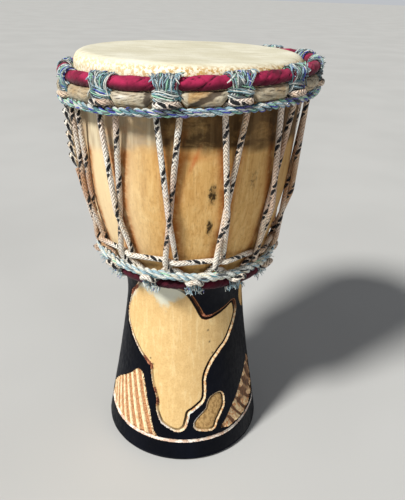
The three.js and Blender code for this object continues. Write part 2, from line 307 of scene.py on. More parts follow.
def scene_object(name, data):
    """An object that is linked to the scene."""
    made = bpy.data.objects.new(name, data)
    bpy.context.scene.collection.objects.link(made)
    return made


class Shape:
    """Grids of points with their UVs and values, made into one mesh."""

    def __init__(self):
        self.points, self.faces, self.uvs, self.values = [], [], [], defaultdict(list)
        self.count = 0

    def grid(self, points, wrap_rows=False, wrap_columns=False, uv=(1.0, 1.0), **values):
        """A grid of points [row, column]. Its UVs run 0 to uv, columns first."""
        rows, columns = points.shape[:2]
        row_steps = rows if wrap_rows else rows - 1
        column_steps = columns if wrap_columns else columns - 1
        i, j = np.meshgrid(np.arange(row_steps), np.arange(column_steps), indexing="ij")
        corners = [(i, j), (i, j + 1), (i + 1, j + 1), (i + 1, j)]
        quads = [(a % rows) * columns + b % columns for a, b in corners]
        self.faces.append(np.stack(quads, -1).reshape(-1, 4) + self.count)
        places = [np.stack([b * uv[0] / column_steps, a * uv[1] / row_steps], -1) for a, b in corners]
        self.uvs.append(np.stack(places, -2).reshape(-1, 2))
        self.points.append(points.reshape(-1, 3))
        for name, value in values.items():
            size = (4,) if name == "dye" else ()
            full = np.broadcast_to(value, (rows, columns, *size))
            self.values[name].append(full.reshape(rows * columns, -1))
        self.count += rows * columns

    def tubes(self, lines, radius, sides, repeat, dyes, closed=False):
        """A tube along each line, its ends closed. repeat is the length that one unit of V takes."""
        turn = np.broadcast_to(2 * np.pi * np.arange(sides) / sides, (lines.shape[1], sides))
        sizes = np.broadcast_to(radius, lines.shape[:2])
        for line, size, dye, across, other in zip(lines, sizes, dyes, *carried_frames(lines, closed)):
            rings = line[:, None] + size[:, None, None] * swung(across[:, None], other[:, None], turn)
            dye = np.broadcast_to(dye, (len(line), 4))
            if not closed:
                first, last = (np.repeat(line[i][None, None], sides, 1) for i in (0, -1))
                rings = np.concatenate([first, rings, last])
                dye = np.concatenate([dye[:1], dye, dye[-1:]])
            length = np.linalg.norm(np.diff(line, axis=0), axis=1).sum()
            self.grid(rings, closed, True, (1.0, length / repeat), dye=dye[:, None])

    def yarns(self, lines, radius, sides, random, spread, weights):
        """Tubes that are dyed as yarns."""
        self.tubes(lines, radius, sides, YARN_TWIST, dyed(random, lines, spread, weights))

    def made(self, name, material):
        """The shape as an object."""
        mesh = bpy.data.meshes.new(name)
        mesh.from_pydata(np.concatenate(self.points), [], np.concatenate(self.faces))
        layer = mesh.uv_layers.new(name="surface")
        layer.uv.foreach_set("vector", np.concatenate(self.uvs).astype(np.float32).ravel())
        for value_name, arrays in self.values.items():
            kind, field = ("FLOAT_COLOR", "color") if value_name == "dye" else ("FLOAT", "value")
            attribute = mesh.attributes.new(value_name, kind, "POINT")
            attribute.data.foreach_set(field, np.concatenate(arrays).astype(np.float32).ravel())
        mesh.shade_smooth()
        mesh.materials.append(material)
        return scene_object(name, mesh)

    def piece(self, name, material, slot, *replaced):
        """The shape as a finished piece, riding on the drum in place of the model's nodes."""
        piece = self.made(name, material)
        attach(piece, "root")
        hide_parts(*replaced)


# Materials

class Look:
    """A node material, with short calls for the nodes that these looks share."""

    def __init__(self, name):
        self.material = bpy.data.materials.new(name)
        self.material.use_nodes = True
        self.nodes = self.material.node_tree.nodes
        self.nodes.clear()
        self.shader = self.add("BsdfPrincipled")
        self.add("OutputMaterial", {"Surface": self.shader.outputs["BSDF"]})

    def add(self, kind, inputs=(), **settings):
        """A node with its settings, and with inputs given by their names or places."""
        node = self.nodes.new(f"ShaderNode{kind}")
        for name, value in settings.items():
            setattr(node, name, value)
        for socket, value in dict(inputs).items():
            self.put(value, node.inputs[socket])
        return node

    def put(self, value, socket):
        """A link from a socket, or from the mesh's value of that name, or else a number or an sRGB colour."""
        if isinstance(value, str):
            value = self.value(value)
        if isinstance(value, bpy.types.NodeSocket):
            self.material.node_tree.links.new(value, socket)
        else:
            socket.default_value = srgb(*value) if socket.type == "RGBA" else value

    def mapped(self, source, stretch):
        return self.add("Mapping", {"Vector": source, "Scale": stretch}).outputs["Vector"]

    def place(self, *stretch):
        """The point's place on the object, with each axis scaled where a stretch is given."""
        source = self.add("TexCoord").outputs["Object"]
        return self.mapped(source, stretch) if stretch else source

    def surface_place(self, *stretch):
        """The point's UV, scaled in the same way."""
        source = self.add("UVMap", uv_map="surface").outputs["UV"]
        return self.mapped(source, stretch) if stretch else source

    def value(self, name, output="Fac"):
        """A value that the mesh keeps for each point."""
        return self.add("Attribute", attribute_name=name).outputs[output]

    def noise(self, place, scale, detail=3, roughness=0.6, distortion=0):
        inputs = {"Scale": scale, "Detail": detail, "Roughness": roughness, "Distortion": distortion}
        return self.add("TexNoise", {"Vector": place} | inputs).outputs["Fac"]

    def math(self, operation, *values):
        return self.add("Math", enumerate(values), operation=operation).outputs["Value"]

    def times(self, first, second, added=0):
        return self.math("MULTIPLY_ADD", first, second, added)

    def minus(self, first, second):
        return self.math("SUBTRACT", first, second)

    def shaken(self, value, grain, size):
        """value moved up and down by a noise, whose middle is a half."""
        return self.times(self.minus(grain, 0.5), size, value)

    def from_middle(self, turns):
        """1 at whole turns, and 0 halfway between them."""
        return self.math("ABSOLUTE", self.times(self.math("FRACT", turns), 2, -1))

    def between(self, value, low, high, first=0, last=1):
        """value mapped smoothly from low..high to first..last."""
        inputs = {"Value": value, "From Min": low, "From Max": high, "To Min": first, "To Max": last}
        return self.add("MapRange", inputs, interpolation_type="SMOOTHSTEP").outputs["Result"]

    def within(self, value, low, high, soft=0.15):
        """1 where value lies between two limits."""
        above = self.between(value, low - soft, low + soft)
        return self.times(above, self.between(value, high + soft, high - soft))

    def inside(self, outline):
        """1 inside a carved outline."""
        return self.between(f"{outline}_off", 0.2, -0.2)

    def blend(self, share, first, second):
        """A number between two others."""
        return self.add("Mix", {0: share, 2: first, 3: second}, data_type="FLOAT").outputs[0]

    def mix(self, share, first, second, way="MIX"):
        """A colour between two others."""
        return self.add("Mix", {0: share, 6: first, 7: second}, data_type="RGBA", blend_type=way).outputs[2]

    def tones(self, value, low, high, first, second):
        """The first colour where value is under low, and the second where it is over high."""
        return self.mix(self.between(value, low, high), first, second)

    def coats(self, colour, *coats):
        """Colours laid on in turn, each after its share or after a value, low, high and share at high."""
        for *share, coat in coats:
            share = share[0] if len(share) == 1 else self.between(*share[:3], 0, share[3])
            colour = self.mix(share, colour, coat)
        return colour

    def ramp(self, value, stops):
        node = self.add("ValToRGB", {"Fac": value})
        elements = node.color_ramp.elements
        while len(elements) < len(stops):
            elements.new(0.5)
        for element, (position, colour) in zip(elements, stops):
            element.position = position
            element.color = srgb(*colour)
        return node.outputs["Color"]

    def split(self, vector):
        return self.add("SeparateXYZ", {"Vector": vector}).outputs

    def bumps(self, *bumps):
        """A normal that follows heights, each with its distance and its strength."""
        inputs = {}
        for height, distance, strength in bumps:
            inputs |= {"Height": height, "Distance": distance, "Strength": strength}
            inputs["Normal"] = self.add("Bump", inputs).outputs["Normal"]
        return inputs["Normal"]

    def finish(self, colour, roughness, **inputs):
        """The material. An underscore in an input's name stands for a space."""
        self.put(colour, self.shader.inputs["Base Color"])
        self.put(roughness, self.shader.inputs["Roughness"])
        for name, value in inputs.items():
            self.put(value, self.shader.inputs[name.replace("_", " ")])
        return self.material


Grain = namedtuple("Grain", "streaks fibres patches blotches mottle fine wobble")


def grain_of(look):
    """The noises that the wood and its paint share."""
    fine = look.noise(look.place(), 620)
    return Grain(
        streaks=look.noise(look.place(1, 1, 0.07), 240, 6, 0.65, 0.4),
        fibres=look.noise(look.place(1, 1, 0.03), 900),
        patches=look.noise(look.place(1, 1, 0.5), 22, 4),
        blotches=look.noise(look.place(1, 1, 0.6), 420, 4, 0.65),
        mottle=look.noise(look.place(), 130, 4),
        fine=fine,
        wobble=look.times(fine, 1.4, -0.7),
    )


def bare_wood(look, grain):
    """Pale wood with long streaks, dark fibres, blotches and rubs beside the cord, with painted light and
    shade: the rings' shadow at the top, the cord's shadow beside its legs, shade on the right and a highlight
    on the left.
    """
    x = look.split(look.place())[0]
    # Rubbed wood beside each leg of the cord, with the cord's painted shadow, shifted to the right of the leg
    rub_and_cord_shadow = look.times("rub_and_cord_shadow", look.between(grain.mottle, 0.35, 0.6, 0.35, 0.95))
    # Painted shadow of the rings: a band below the rim, dark brown in the middle and grey-brown at the left
    shadow_blotches = look.noise(look.place(1, 1, 1.6), 55, 5, 0.65, 0.3)
    ring_shadow = look.times("ring_shadow", look.between(shadow_blotches, 0.30, 0.56, 0.55, 0.95))
    soft = look.noise(look.place(1, 1, 0.12), 110, 4, 0.6, 0.3)
    shadow_brown = look.tones(soft, 0.40, 0.64, (70, 50, 28), (108, 82, 52))
    shadow_grey = look.tones(soft, 0.40, 0.64, (178, 158, 130), (222, 208, 176))
    mark = look.times("mark", look.between(grain.blotches, 0.3, 0.62, 1.25, 0.45))
    return look.coats(
        look.ramp(grain.streaks, [(0.28, (196, 148, 84)), (0.5, (222, 178, 112)), (0.75, (238, 202, 140))]),
        (grain.patches, 0.42, 0.72, 0.5, (198, 146, 80)),
        (grain.mottle, 0.5, 0.72, 0.3, (244, 214, 154)),
        (grain.blotches, 0.50, 0.70, 0.45, (178, 130, 72)),
        (grain.fibres, 0.56, 0.7, 0.35, (150, 106, 58)),
        # Painted highlight: the left side paler, where the light falls
        ("pale", (250, 232, 192)),
        (rub_and_cord_shadow, (168, 98, 42)),
        # An orange band just below the painted ring shadow
        ("singed", (190, 116, 50)),
        # Painted shade: the right side browner, away from the light
        (x, 0.03, 0.095, 0.45, (134, 100, 60)),
        # Painted shadow of the rings
        (ring_shadow, look.tones(x, -0.016, -0.036, shadow_brown, shadow_grey)),
        (mark, 0.12, 0.85, 1, (66, 50, 28)),
        (look.times("blush", 0.75), (196, 96, 44)),
    )


def map_wood(look, grain, wood):
    """The bare map: golden and mottled, stained grey-green at the top, darker in the island."""
    inside = look.inside("map")
    golden = look.coats(
        look.mix(0.6, wood, (243, 212, 154)),
        (grain.mottle, 0.40, 0.64, 0.55, (218, 180, 120)),
        (grain.fine, 0.46, 0.66, 0.35, (198, 156, 100)),
        (grain.streaks, 0.52, 0.66, 0.3, (252, 230, 178)),
    )
    cloud = look.noise(look.place(), 75, 4, 0.65)
    soak = look.shaken(look.shaken("stain", cloud, 1.5), grain.mottle, 0.9)
    return look.coats(
        wood,
        (inside, golden),
        (look.times(look.between(soak, 0.2, 0.75, 0, 0.88), inside),
         look.mix("stain", (214, 204, 168), (222, 226, 212))),
        (look.inside("island"), look.tones(grain.blotches, 0.4, 0.64, (206, 168, 112), (158, 122, 76))),
    )


def panel_wood(look, grain, wood):
    """The two panels: cream ribs on the left, with painted shade in their tan valleys and along one side of
    each, and dark scoops on the right.
    """
    # Painted shade in the valleys between the ribs
    valley_shade = look.times(grain.wobble, 0.35, "groove")
    torn = look.times(look.between("ribs_off", -3.6, -0.6), look.between(grain.fine, 0.44, 0.54))
    ribs = look.coats(
        look.tones(grain.blotches, 0.44, 0.66, (252, 232, 190), (228, 178, 126)),
        (valley_shade, 0.3, 0.62, 1, look.tones(grain.fine, 0.4, 0.62, (212, 156, 112), (156, 104, 66))),
        # Painted shade: a brown line along one side of each rib
        (look.times("rib_shade_line", look.between(grain.fine, 0.36, 0.56, 0.95, 0.3)), (116, 76, 46)),
        (look.times(torn, "torn"), (112, 76, 48)),
    )
    scoops = look.coats(
        look.tones(grain.mottle, 0.36, 0.62, (92, 62, 44), (146, 106, 78)),
        (look.times("scoop_edge", 0.8), (218, 174, 130)),
        (grain.fine, 0.5, 0.66, 0.5, (66, 42, 28)),
        (look.times(grain.wobble, 0.4, "lip"), 0.35, 0.62, 1,
         look.tones(grain.blotches, 0.42, 0.62, (250, 224, 176), (214, 142, 92))),
    )
    return look.coats(wood, (look.inside("ribs"), ribs), (look.inside("gouges"), scoops))


def cut_walls(look, grain, wood):
    """The cut edges of the carvings: pale bevels with painted highlights, painted shadow in the grooves and
    on the north-east wall, and red-brown patches.
    """
    off, isle = (look.times(grain.wobble, 0.5, name) for name in ("map_off", "island_off"))
    bevel = look.coats(
        look.tones(grain.blotches, 0.42, 0.62, (244, 222, 182), (206, 152, 100)),
        # Painted highlight: bluish white on the lit parts of the bevels
        ("frost", (226, 232, 236)),
        (grain.fine, 0.56, 0.68, 0.7, (122, 78, 54)),
    )
    # Painted shadow on the north-east wall of the map's edge, which faces away from the light
    north_east_wall_shadow = look.tones(grain.mottle, 0.4, 0.6, (40, 22, 14), (88, 50, 30))
    # Red-brown patches along the map's cut edge
    red_brown_patch = look.times("red_brown_patch", look.between(off, -4, -1))
    # Painted shadow in the grooves round the map and the island
    groove = look.between(look.math("ABSOLUTE", look.math("ADD", off, 0.8)), 1.6, 1.1)
    ring = look.between(look.math("ABSOLUTE", isle), 0.95, 0.55)
    island_groove_shadow = look.times(ring, "island_groove_shadow")
    ink = look.math("MAXIMUM", look.times(groove, "ink"), island_groove_shadow)
    foot_line = look.coats(
        look.tones(grain.mottle, 0.42, 0.58, (252, 242, 230), (216, 184, 162)),
        (grain.fine, 0.52, 0.66, 0.6, (136, 92, 66)),
    )
    return look.coats(
        wood,
        (look.within(off, 0.25, 5), look.mix("north_east", bevel, north_east_wall_shadow)),
        (look.times(look.within(off, 2.5, 2.9), look.times("north_east", 0.8)), (196, 134, 84)),
        (look.times(grain.wobble, 0.5, red_brown_patch), 0.3, 0.6, 1,
         look.tones(grain.fine, 0.42, 0.58, (206, 138, 104), (112, 50, 32))),
        (look.within(isle, 0.6, 4), bevel),
        (look.between("line_off", 2.1, 1.6), foot_line),
        # Painted shadow in the grooves, and the dark pits
        (look.math("MAXIMUM", ink, "pit"), (24, 13, 8)),
    )


PAINT_TOP = 0.2065


def paint_share(look, grain):
    """1 where the stem is painted, from the distance in millimetres to the nearest bare edge."""
    edge = look.times(look.split(look.place())[2], -MILLIMETRES, PAINT_TOP * MILLIMETRES)
    map_width = look.times(grain.mottle, 1.1, "bare_width")
    bare_widths = {"map": map_width, "island": 2.1, "line": 1.7, "ribs": 0, "gouges": 0, "strip": 0}
    for name, width in bare_widths.items():
        edge = look.math("MINIMUM", edge, look.minus(f"{name}_off", width))
    painted = look.between(look.math("ADD", edge, grain.wobble), -0.12, 0.12)
    return look.times(painted, look.minus(1, "raw"))


def wood_look():
    """Pale carved wood, with matt black paint round the carvings of the stem."""
    look = Look("carved_wood")
    grain = grain_of(look)
    wood = bare_wood(look, grain)
    for carving in (map_wood, cut_walls, panel_wood):
        wood = carving(look, grain, wood)
    wood = look.mix("raw", wood, (168, 124, 78))
    painted = paint_share(look, grain)
    scuffs = look.noise(look.place(1, 1, 0.35), 330, 4, 0.7)
    # Black paint with a blue tint, which is a painted reflection of blue surroundings
    black = look.coats(
        look.tones(grain.patches, 0.35, 0.7, (1, 3, 12), (5, 9, 22)),
        (scuffs, 0.66, 0.76, 0.3, (44, 44, 48)),
    )
    bare_rough = look.between(grain.mottle, 0.3, 0.7, 0.5, 0.72)
    paint_rough = look.between(scuffs, 0.3, 0.7, 0.40, 0.62)
    return look.finish(
        look.mix(painted, wood, black),
        look.blend(painted, bare_rough, paint_rough),
        Normal=look.bumps(
            (grain.streaks, 0.00025, 0.5), (grain.fibres, 0.00012, 0.4), (grain.blotches, 0.0003, 0.3)),
        Specular_IOR_Level=0.10,
    )


def hide_side(look, x, speckle, clouds):
    """The skin down the side: golden and woolly, with painted light paler on the left and painted shade
    darker on the right.
    """
    # Painted light: paler towards the left
    golden = look.tones(x, 0, -0.07, (204, 164, 96), (232, 212, 168))
    return look.coats(
        golden,
        (speckle, 0.43, 0.56, 1, (255, 251, 228)),
        # Painted shade: browner towards the right
        (x, -0.02, 0.09, 0.6, look.tones(speckle, 0.42, 0.6, (178, 136, 76), (240, 214, 150))),
        (clouds, 0.48, 0.66, 0.35, (206, 172, 104)),
    )


def hide_roll(look, hair):
    """The rolled edge: grey-brown hair, with painted shade in its folds."""
    tint = look.noise(look.surface_place(34, 3, 1), 1)
    return look.coats(
        look.tones(hair, 0.32, 0.68, (158, 146, 122), (214, 204, 180)),
        (tint, 0.44, 0.64, 0.6, (178, 144, 96)),
        ("tan", look.tones(hair, 0.4, 0.6, (158, 118, 68), (196, 160, 104))),
        ("gleam", (246, 242, 232)),
        # Painted shade in the folds of the rolled skin
        (look.shaken("fold", hair, 1.1), 0.15, 0.62, 0.9, (62, 48, 36)),
    )


def hide_look():
    """Dry goatskin: ivory and streaked on top, woolly down the side, grey-brown at the roll."""
    look = Look("goatskin")
    x = look.split(look.place())[0]
    streaks = look.noise(look.place(0.12, 1, 1), 240, 6, 0.65, 0.5)
    clouds = look.noise(look.place(), 26, 4)
    speckle = look.noise(look.place(), 400, 3, 0.62)
    hair = look.noise(look.surface_place(210, 60, 1), 1, 5, 0.65, 0.8)
    colour = look.coats(
        look.tones(clouds, 0.35, 0.7, (236, 230, 204), (246, 242, 222)),
        (streaks, 0.46, 0.66, 0.55, (202, 192, 158)),
        ("side", hide_side(look, x, speckle, clouds)),
        ("roll", hide_roll(look, hair)),
    )
    roughness = look.between(clouds, 0.3, 0.7, 0.5, 0.7)
    normal = look.bumps((speckle, 0.0006, 0.5), (streaks, 0.0005, 0.35), (hair, 0.0004, 0.25))
    return look.finish(colour, roughness, Normal=normal, Specular_IOR_Level=0.35)


# How fibres catch the light
FLUFF = {"Sheen_Weight": 0.25, "Sheen_Roughness": 0.5, "Specular_IOR_Level": 0.2}


def cloth_look(name, deep, bright):
    """Woven cotton, creased where it is wound, with painted shade in its creases, at its lap edges and on its
    underside.
    """
    look = Look(name)
    shade = look.noise(look.place(), 60, 4)
    inputs = {"Vector": look.surface_place(700, 46, 1), "Scale": 0.5, "Distortion": 0.8}
    threads = [look.add("TexWave", inputs, bands_direction=way).outputs["Fac"] for way in "XY"]
    cloth = look.tones(shade, 0.3, 0.7, deep, bright)
    # Painted shade in the creases, at the lap edges and on the underside
    colour = look.coats(cloth, ("fold", 0.05, 0.7, 1, (52, 4, 24)))
    normal = look.bumps((look.math("ADD", *threads), 0.00012, 0.4), (shade, 0.0008, 0.35))
    return look.finish(colour, 0.8, Normal=normal, Sheen_Weight=0.1, Specular_IOR_Level=0.2)


def yarn_look():
    """Spun yarn: its dye, with painted shade between its plies and fine fibres twisted along it."""
    look = Look("yarn")
    u, v, _ = look.split(look.surface_place())
    ridge = look.from_middle(look.times(u, 2, v))
    fuzz = look.noise(look.place(), 1500)
    # Painted shade between the plies
    ply_gap_shade = look.between(ridge, 0.55, 1, 0, 0.5)
    colour = look.mix(ply_gap_shade, look.value("dye", "Color"), (30, 34, 40), "MULTIPLY")
    colour = look.coats(colour, (fuzz, 0.52, 0.75, 0.35, (236, 238, 232)))
    normal = look.bumps((look.minus(1, ridge), 0.0002, 0.6), (fuzz, 0.0003, 0.4))
    return look.finish(colour, 0.88, Normal=normal, **FLUFF)


# The braid: how far a black tracer goes along the cord in one turn round it, in how many dashes, and
# how many plaits cross the cord's face each way in that length
TRACER_TURN = 0.039
DASHES = 5
DASH_SLOPE = 1.7
DASH_WIDTH = 0.118
PLAITS_ALONG = 12
PLAITS_ROUND = 6


def plait_gap(look, u, v):
    """0 along the middle of a plait and 1 between two, where each goes over two and under two."""
    ways = [look.times(u, PLAITS_ROUND, look.times(v, side * PLAITS_ALONG)) for side in (1, -1)]
    cells = look.math("ADD", *[look.math("FLOOR", way) for way in ways])
    over = look.math("LESS_THAN", look.math("FLOORED_MODULO", cells, 4), 1.5)
    return look.blend(over, look.from_middle(ways[1]), look.from_middle(ways[0]))


def tracer_dashes(look, u, v):
    """1 on the dashes that a black plait leaves on its way round the cord."""
    along = look.times(v, DASHES)
    step = look.math("DIVIDE", look.math("FLOOR", along), DASHES)
    middle = look.times(v, DASH_SLOPE, look.times(step, 1 - DASH_SLOPE))
    offset = look.math("FRACT", look.math("ADD", look.minus(u, middle), 0.5))
    across = look.math("ABSOLUTE", look.minus(offset, 0.5))
    ragged = look.shaken(across, look.noise(look.place(), 700, 3, 0.55), 0.13)
    part = look.math("ABSOLUTE", look.minus(look.math("FRACT", along), 0.5))
    width = look.between(part, 0.49, 0.30, 0, DASH_WIDTH)
    return look.between(look.minus(width, ragged), -0.012, 0.012)


def cord_look():
    """Braided cream cord with a black tracer plait, and painted shade between the plaits."""
    look = Look("braided_cord")
    u, v, _ = look.split(look.surface_place())
    gap = plait_gap(look, u, v)
    fibre = look.noise(look.place(), 1100)
    colour = look.coats(
        look.value("dye", "Color"),
        (look.noise(look.place(), 34), 0.40, 0.66, 0.5, (250, 226, 190)),
        (look.noise(look.place(), 240, 4, 0.65), 0.50, 0.68, 0.55, (200, 152, 100)),
        # Painted shade between the plaits
        (gap, 0.62, 0.94, 0.85, (112, 82, 54)),
        (fibre, 0.54, 0.7, 0.5, (255, 250, 240)),
        (tracer_dashes(look, u, v), (14, 14, 18)),
    )
    height = look.minus(1, look.math("POWER", gap, 2))
    return look.finish(colour, 0.85, Normal=look.bumps((height, 0.0009, 0.9), (fibre, 0.0003, 0.5)), **FLUFF)


# The shell

# Columns are close on the carved side and wide behind
FINE_COLUMN = 0.66
BACK_COLUMN = 5.0
CARVED_FROM, CARVED_TO = -94, 104
STEM_ROW = 0.00092
BOWL_ROW = 0.0045
STEM_TOP = 0.207
BOWL_TOP = 0.385
FOOT_TOP = 0.020
MOUTH_TOP = 0.388

# The carvings: how deep the bare wood lies below the paint, and how wide its cut edge is. The ribs
# stand RIB_PITCH degrees apart and lean RIB_LEAN degrees for each metre of height
MAP_DEPTH = 0.0013
MAP_EDGE = 0.0026
ISLAND_EDGE = 0.0018
GROOVE_DEPTH = 0.0008
GROOVE_HALF = 0.0009
LINE_DEPTH = 0.0010
STRIP_DEPTH = 0.0008
PANEL_EDGE = 0.0006
RIB_FLOOR = 0.0006
RIB_DEPTH = 0.0013
RIB_PITCH = 7.4
RIB_LEAN = 260
RIB_FIRST = -66
GOUGE_FLOOR = 0.00048
GOUGE_DEPTH = 0.0017
GOUGE_PITCH = 0.0115
PITS = [(22.6, 0.146), (26.6, 0.120), (24, 0.133), (-31, 0.1115), (-28, 0.106), (-27.5, 0.1015)]
STAIN_EDGE = [(-72, -60, -48, -40, -30, -21, -12, 3, 10),
              (0.152, 0.168, 0.182, 0.183, 0.178, 0.169, 0.174, 0.188, 0.202)]


def on_stem(outline):
    """A smooth closed line through points of angle and height."""
    knots = np.array(outline, float)
    count = len(knots)
    line = []
    for i in range(count):
        before, start, end, after = (knots[(i + k) % count] for k in (-1, 0, 1, 2))
        for t in np.linspace(0, 1, 10, endpoint=False):
            line.append(0.5 * (2 * start + (end - before) * t
                               + (2 * before - 5 * start + 4 * end - after) * t ** 2
                               + (3 * start - before - 3 * end + after) * t ** 3))
    return np.array(line)


def inside_outline(line, angles, heights):
    """Whether each point lies inside a closed line, by how often it is crossed."""
    found = np.zeros(angles.shape, bool)
    for (a0, z0), (a1, z1) in zip(line, np.roll(line, -1, 0)):
        if z0 == z1:
            continue
        crosses = (z0 > heights) != (z1 > heights)
        at = a0 + (heights - z0) / (z1 - z0) * (a1 - a0)
        found ^= crosses & (angles < at)
    return found


def outline_distance(outline, angles, heights, points, reach=(20, 0.02)):
    """Distance to an outline on the stem, negative inside it, found within a reach in degrees and metres."""
    line = on_stem(outline)
    places = around(line[:, 0], radius_at(OUTSIDE, line[:, 1]), line[:, 1])
    tree = KDTree(len(places))
    for i, place in enumerate(places):
        tree.insert(place, i)
    tree.balance()
    flat = np.stack([angles, heights], -1).reshape(-1, 2)
    near = np.all((flat > line.min(0) - reach) & (flat < line.max(0) + reach), -1)
    distance = np.full(len(flat), reach[1])
    distance[near] = [tree.find(p)[2] for p in points.reshape(-1, 3)[near].tolist()]
    sign = np.where(inside_outline(line, angles, heights), -1, 1)
    return np.minimum(distance, reach[1]).reshape(angles.shape) * sign


def shell_rows():
    """The wall's profile up inside, over the rim and down outside, and where its outside begins."""
    inner_rows = [np.linspace(0, 0.16, 12), np.linspace(0.17, 0.25, 10), np.linspace(0.26, MOUTH_TOP, 7)]
    inner_heights = np.concatenate(inner_rows)
    inner = np.stack([radius_at(INSIDE, inner_heights), inner_heights], -1)
    wood_round = EDGE_ROUND - SKIN - SKIN_CLEAR
    rim = arc(SIDE_RADIUS - EDGE_ROUND, HEIGHT - EDGE_ROUND, wood_round, 90, 0, 6)
    heights = np.concatenate([
        np.arange(BOWL_TOP, STEM_TOP, -BOWL_ROW), np.arange(STEM_TOP, FOOT_TOP, -STEM_ROW),
        np.linspace(FOOT_TOP, FOOT_ROUND, 8),
    ])
    outer = np.stack([radius_at(OUTSIDE, heights), heights], -1)
    foot = arc(outer[-1, 0] - FOOT_ROUND, FOOT_ROUND, FOOT_ROUND, 0, -90, 5)
    return np.concatenate([inner, rim, outer, foot]), len(inner) + len(rim)


def carved_edges(angles, heights, points):
    """Distances to the edges of the carvings, some of them roughened by the tool."""
    edges = {name: outline_distance(outline, angles, heights, points) for name, outline in OUTLINES.items()}
    ragged = 0.0006 * noise_of(points, 300, 3) + 0.0005 * noise_of(points, 900, 4)
    line_height = FOOT_LINE + 0.004 * smoothstep(-40, -80, angles) + 0.005 * smoothstep(30, 70, angles)
    ticks = 0.0013 * noise_of(points * [1, 1, 0.3], 900, 23) * smoothstep(0.045, 0.055, heights)
    edges["ribs"] = np.maximum(edges["ribs"] + ragged + ticks, line_height - heights)
    edges["gouges"] = edges["gouges"] + ragged
    edges["strip"] = edges["strip"] + ragged
    edges["line"] = np.abs(heights - line_height - 0.6 * ragged)
    return edges


def stem_cuts(edges, points, groove, wave):
    """How deep each point of the stem is cut."""
    depth = 0.00012 * noise_of(points, 140, 5) + 0.00006 * noise_of(points, 500, 6)
    for name, edge in (("map", MAP_EDGE), ("island", ISLAND_EDGE)):
        depth += MAP_DEPTH * (1 - smoothstep(0, edge, edges[name]))
        depth += GROOVE_DEPTH * bell(edges[name], -0.0003, GROOVE_HALF)
    cuts = {
        "ribs": RIB_FLOOR + RIB_DEPTH * groove,
        "gouges": GOUGE_FLOOR + GOUGE_DEPTH * (1 - wave ** 2),
        "strip": STRIP_DEPTH,
    }
    for name, cut in cuts.items():
        depth += cut * smoothstep(PANEL_EDGE, -PANEL_EDGE, edges[name])
    return depth + LINE_DEPTH * smoothstep(0.0018, 0.0008, edges["line"])


def stem_marks(angles, heights, points, map_edge):
    """How strong the red-brown patches, the painted groove shadows and the painted bevel highlights are on
    the carved edges.
    """
    east = smoothstep(-8, 6, angles)
    north_east = east * smoothstep(0.150, 0.163, heights)
    patchy = np.clip(0.5 + 0.9 * noise_of(points, 110, 24), 0, 1)
    # Red-brown patches on the map's cut edge
    red_brown_patch = spots(
        angles, heights, (1, -60, 0.178, 13, 0.013), (1.2, -32, 0.107, 6, 0.007),
        (0.75 * patchy, -23, 0.078, 7, 0.022), (1, 21, 0.161, 6, 0.005),
    )
    # Painted highlights on the bevels: the south coast, the foot line and the west side
    frost = spots(
        angles, heights, (smoothstep(0.0012, 0.0022, map_edge), 9, 0.056, 8, 0.013),
        (0.6, -14, 0.040, 9, 0.012), (0.6 * patchy, -5, 0.0245, 16, 0.004),
    )
    return {
        "bare_width": 0.45 + 1.25 * east + 0.5 * smoothstep(0.075, 0.050, heights) + 1.1 * north_east,
        "north_east": north_east,
        # Painted shadow in the groove round the map, strongest on the east side
        "ink": (0.3 + 0.5 * patchy) * (1 - east) + east,
        # Painted shadow in the groove round the island, strongest on its east side
        "island_groove_shadow": 0.4 + 0.55 * smoothstep(18, 26, angles),
        "frost": np.maximum(frost, 0.7 * patchy * smoothstep(-20, -60, angles)),
        "red_brown_patch": np.clip(red_brown_patch * 1.5, 0, 1),
        "pit": spots(angles, heights, *[(1, angle, height, 0.9, 0.0010) for angle, height in PITS]),
        "stain": smoothstep(-0.009, 0.014, heights - np.interp(angles, *STAIN_EDGE)),
    }


def carve_stem(angles, heights, points):
    """How deep each point of the stem is cut, and the values that its finish follows."""
    edges = carved_edges(angles, heights, points)
    phase = np.mod((angles - RIB_FIRST + (heights - 0.03) * RIB_LEAN) / RIB_PITCH, 1)
    groove = 1 - smoothstep(0.15, 0.80, np.abs(phase - 0.5) * 2)
    slant = (np.radians(angles) * 0.078 * 0.75 + heights * 0.65) / GOUGE_PITCH
    wave = np.abs(np.mod(slant + 0.3 * noise_of(points, 60, 8), 1) - 0.5) * 2
    left_edge = angles - 31 - (heights - 0.032) * 790
    left_lip = smoothstep(9, 4, left_edge) * (0.35 + 0.65 * smoothstep(0.2, 0.7, wave))
    low_lip = smoothstep(0.054, 0.040, heights) * smoothstep(0.05, 0.55, wave)
    values = {f"{name}_off": np.clip(edge, -FAR, FAR) * MILLIMETRES for name, edge in edges.items()}
    values |= stem_marks(angles, heights, points, edges["map"]) | {
        "groove": groove,
        # Painted shade along one side of each rib
        "rib_shade_line": np.clip(1 - np.abs(phase - 0.22) / 0.10, 0, 1),
        "torn": smoothstep(-46, -36, angles),
        "scoop_edge": wave ** 4,
        "lip": np.maximum(left_lip, low_lip),
    }
    return stem_cuts(edges, points, groove, wave), values


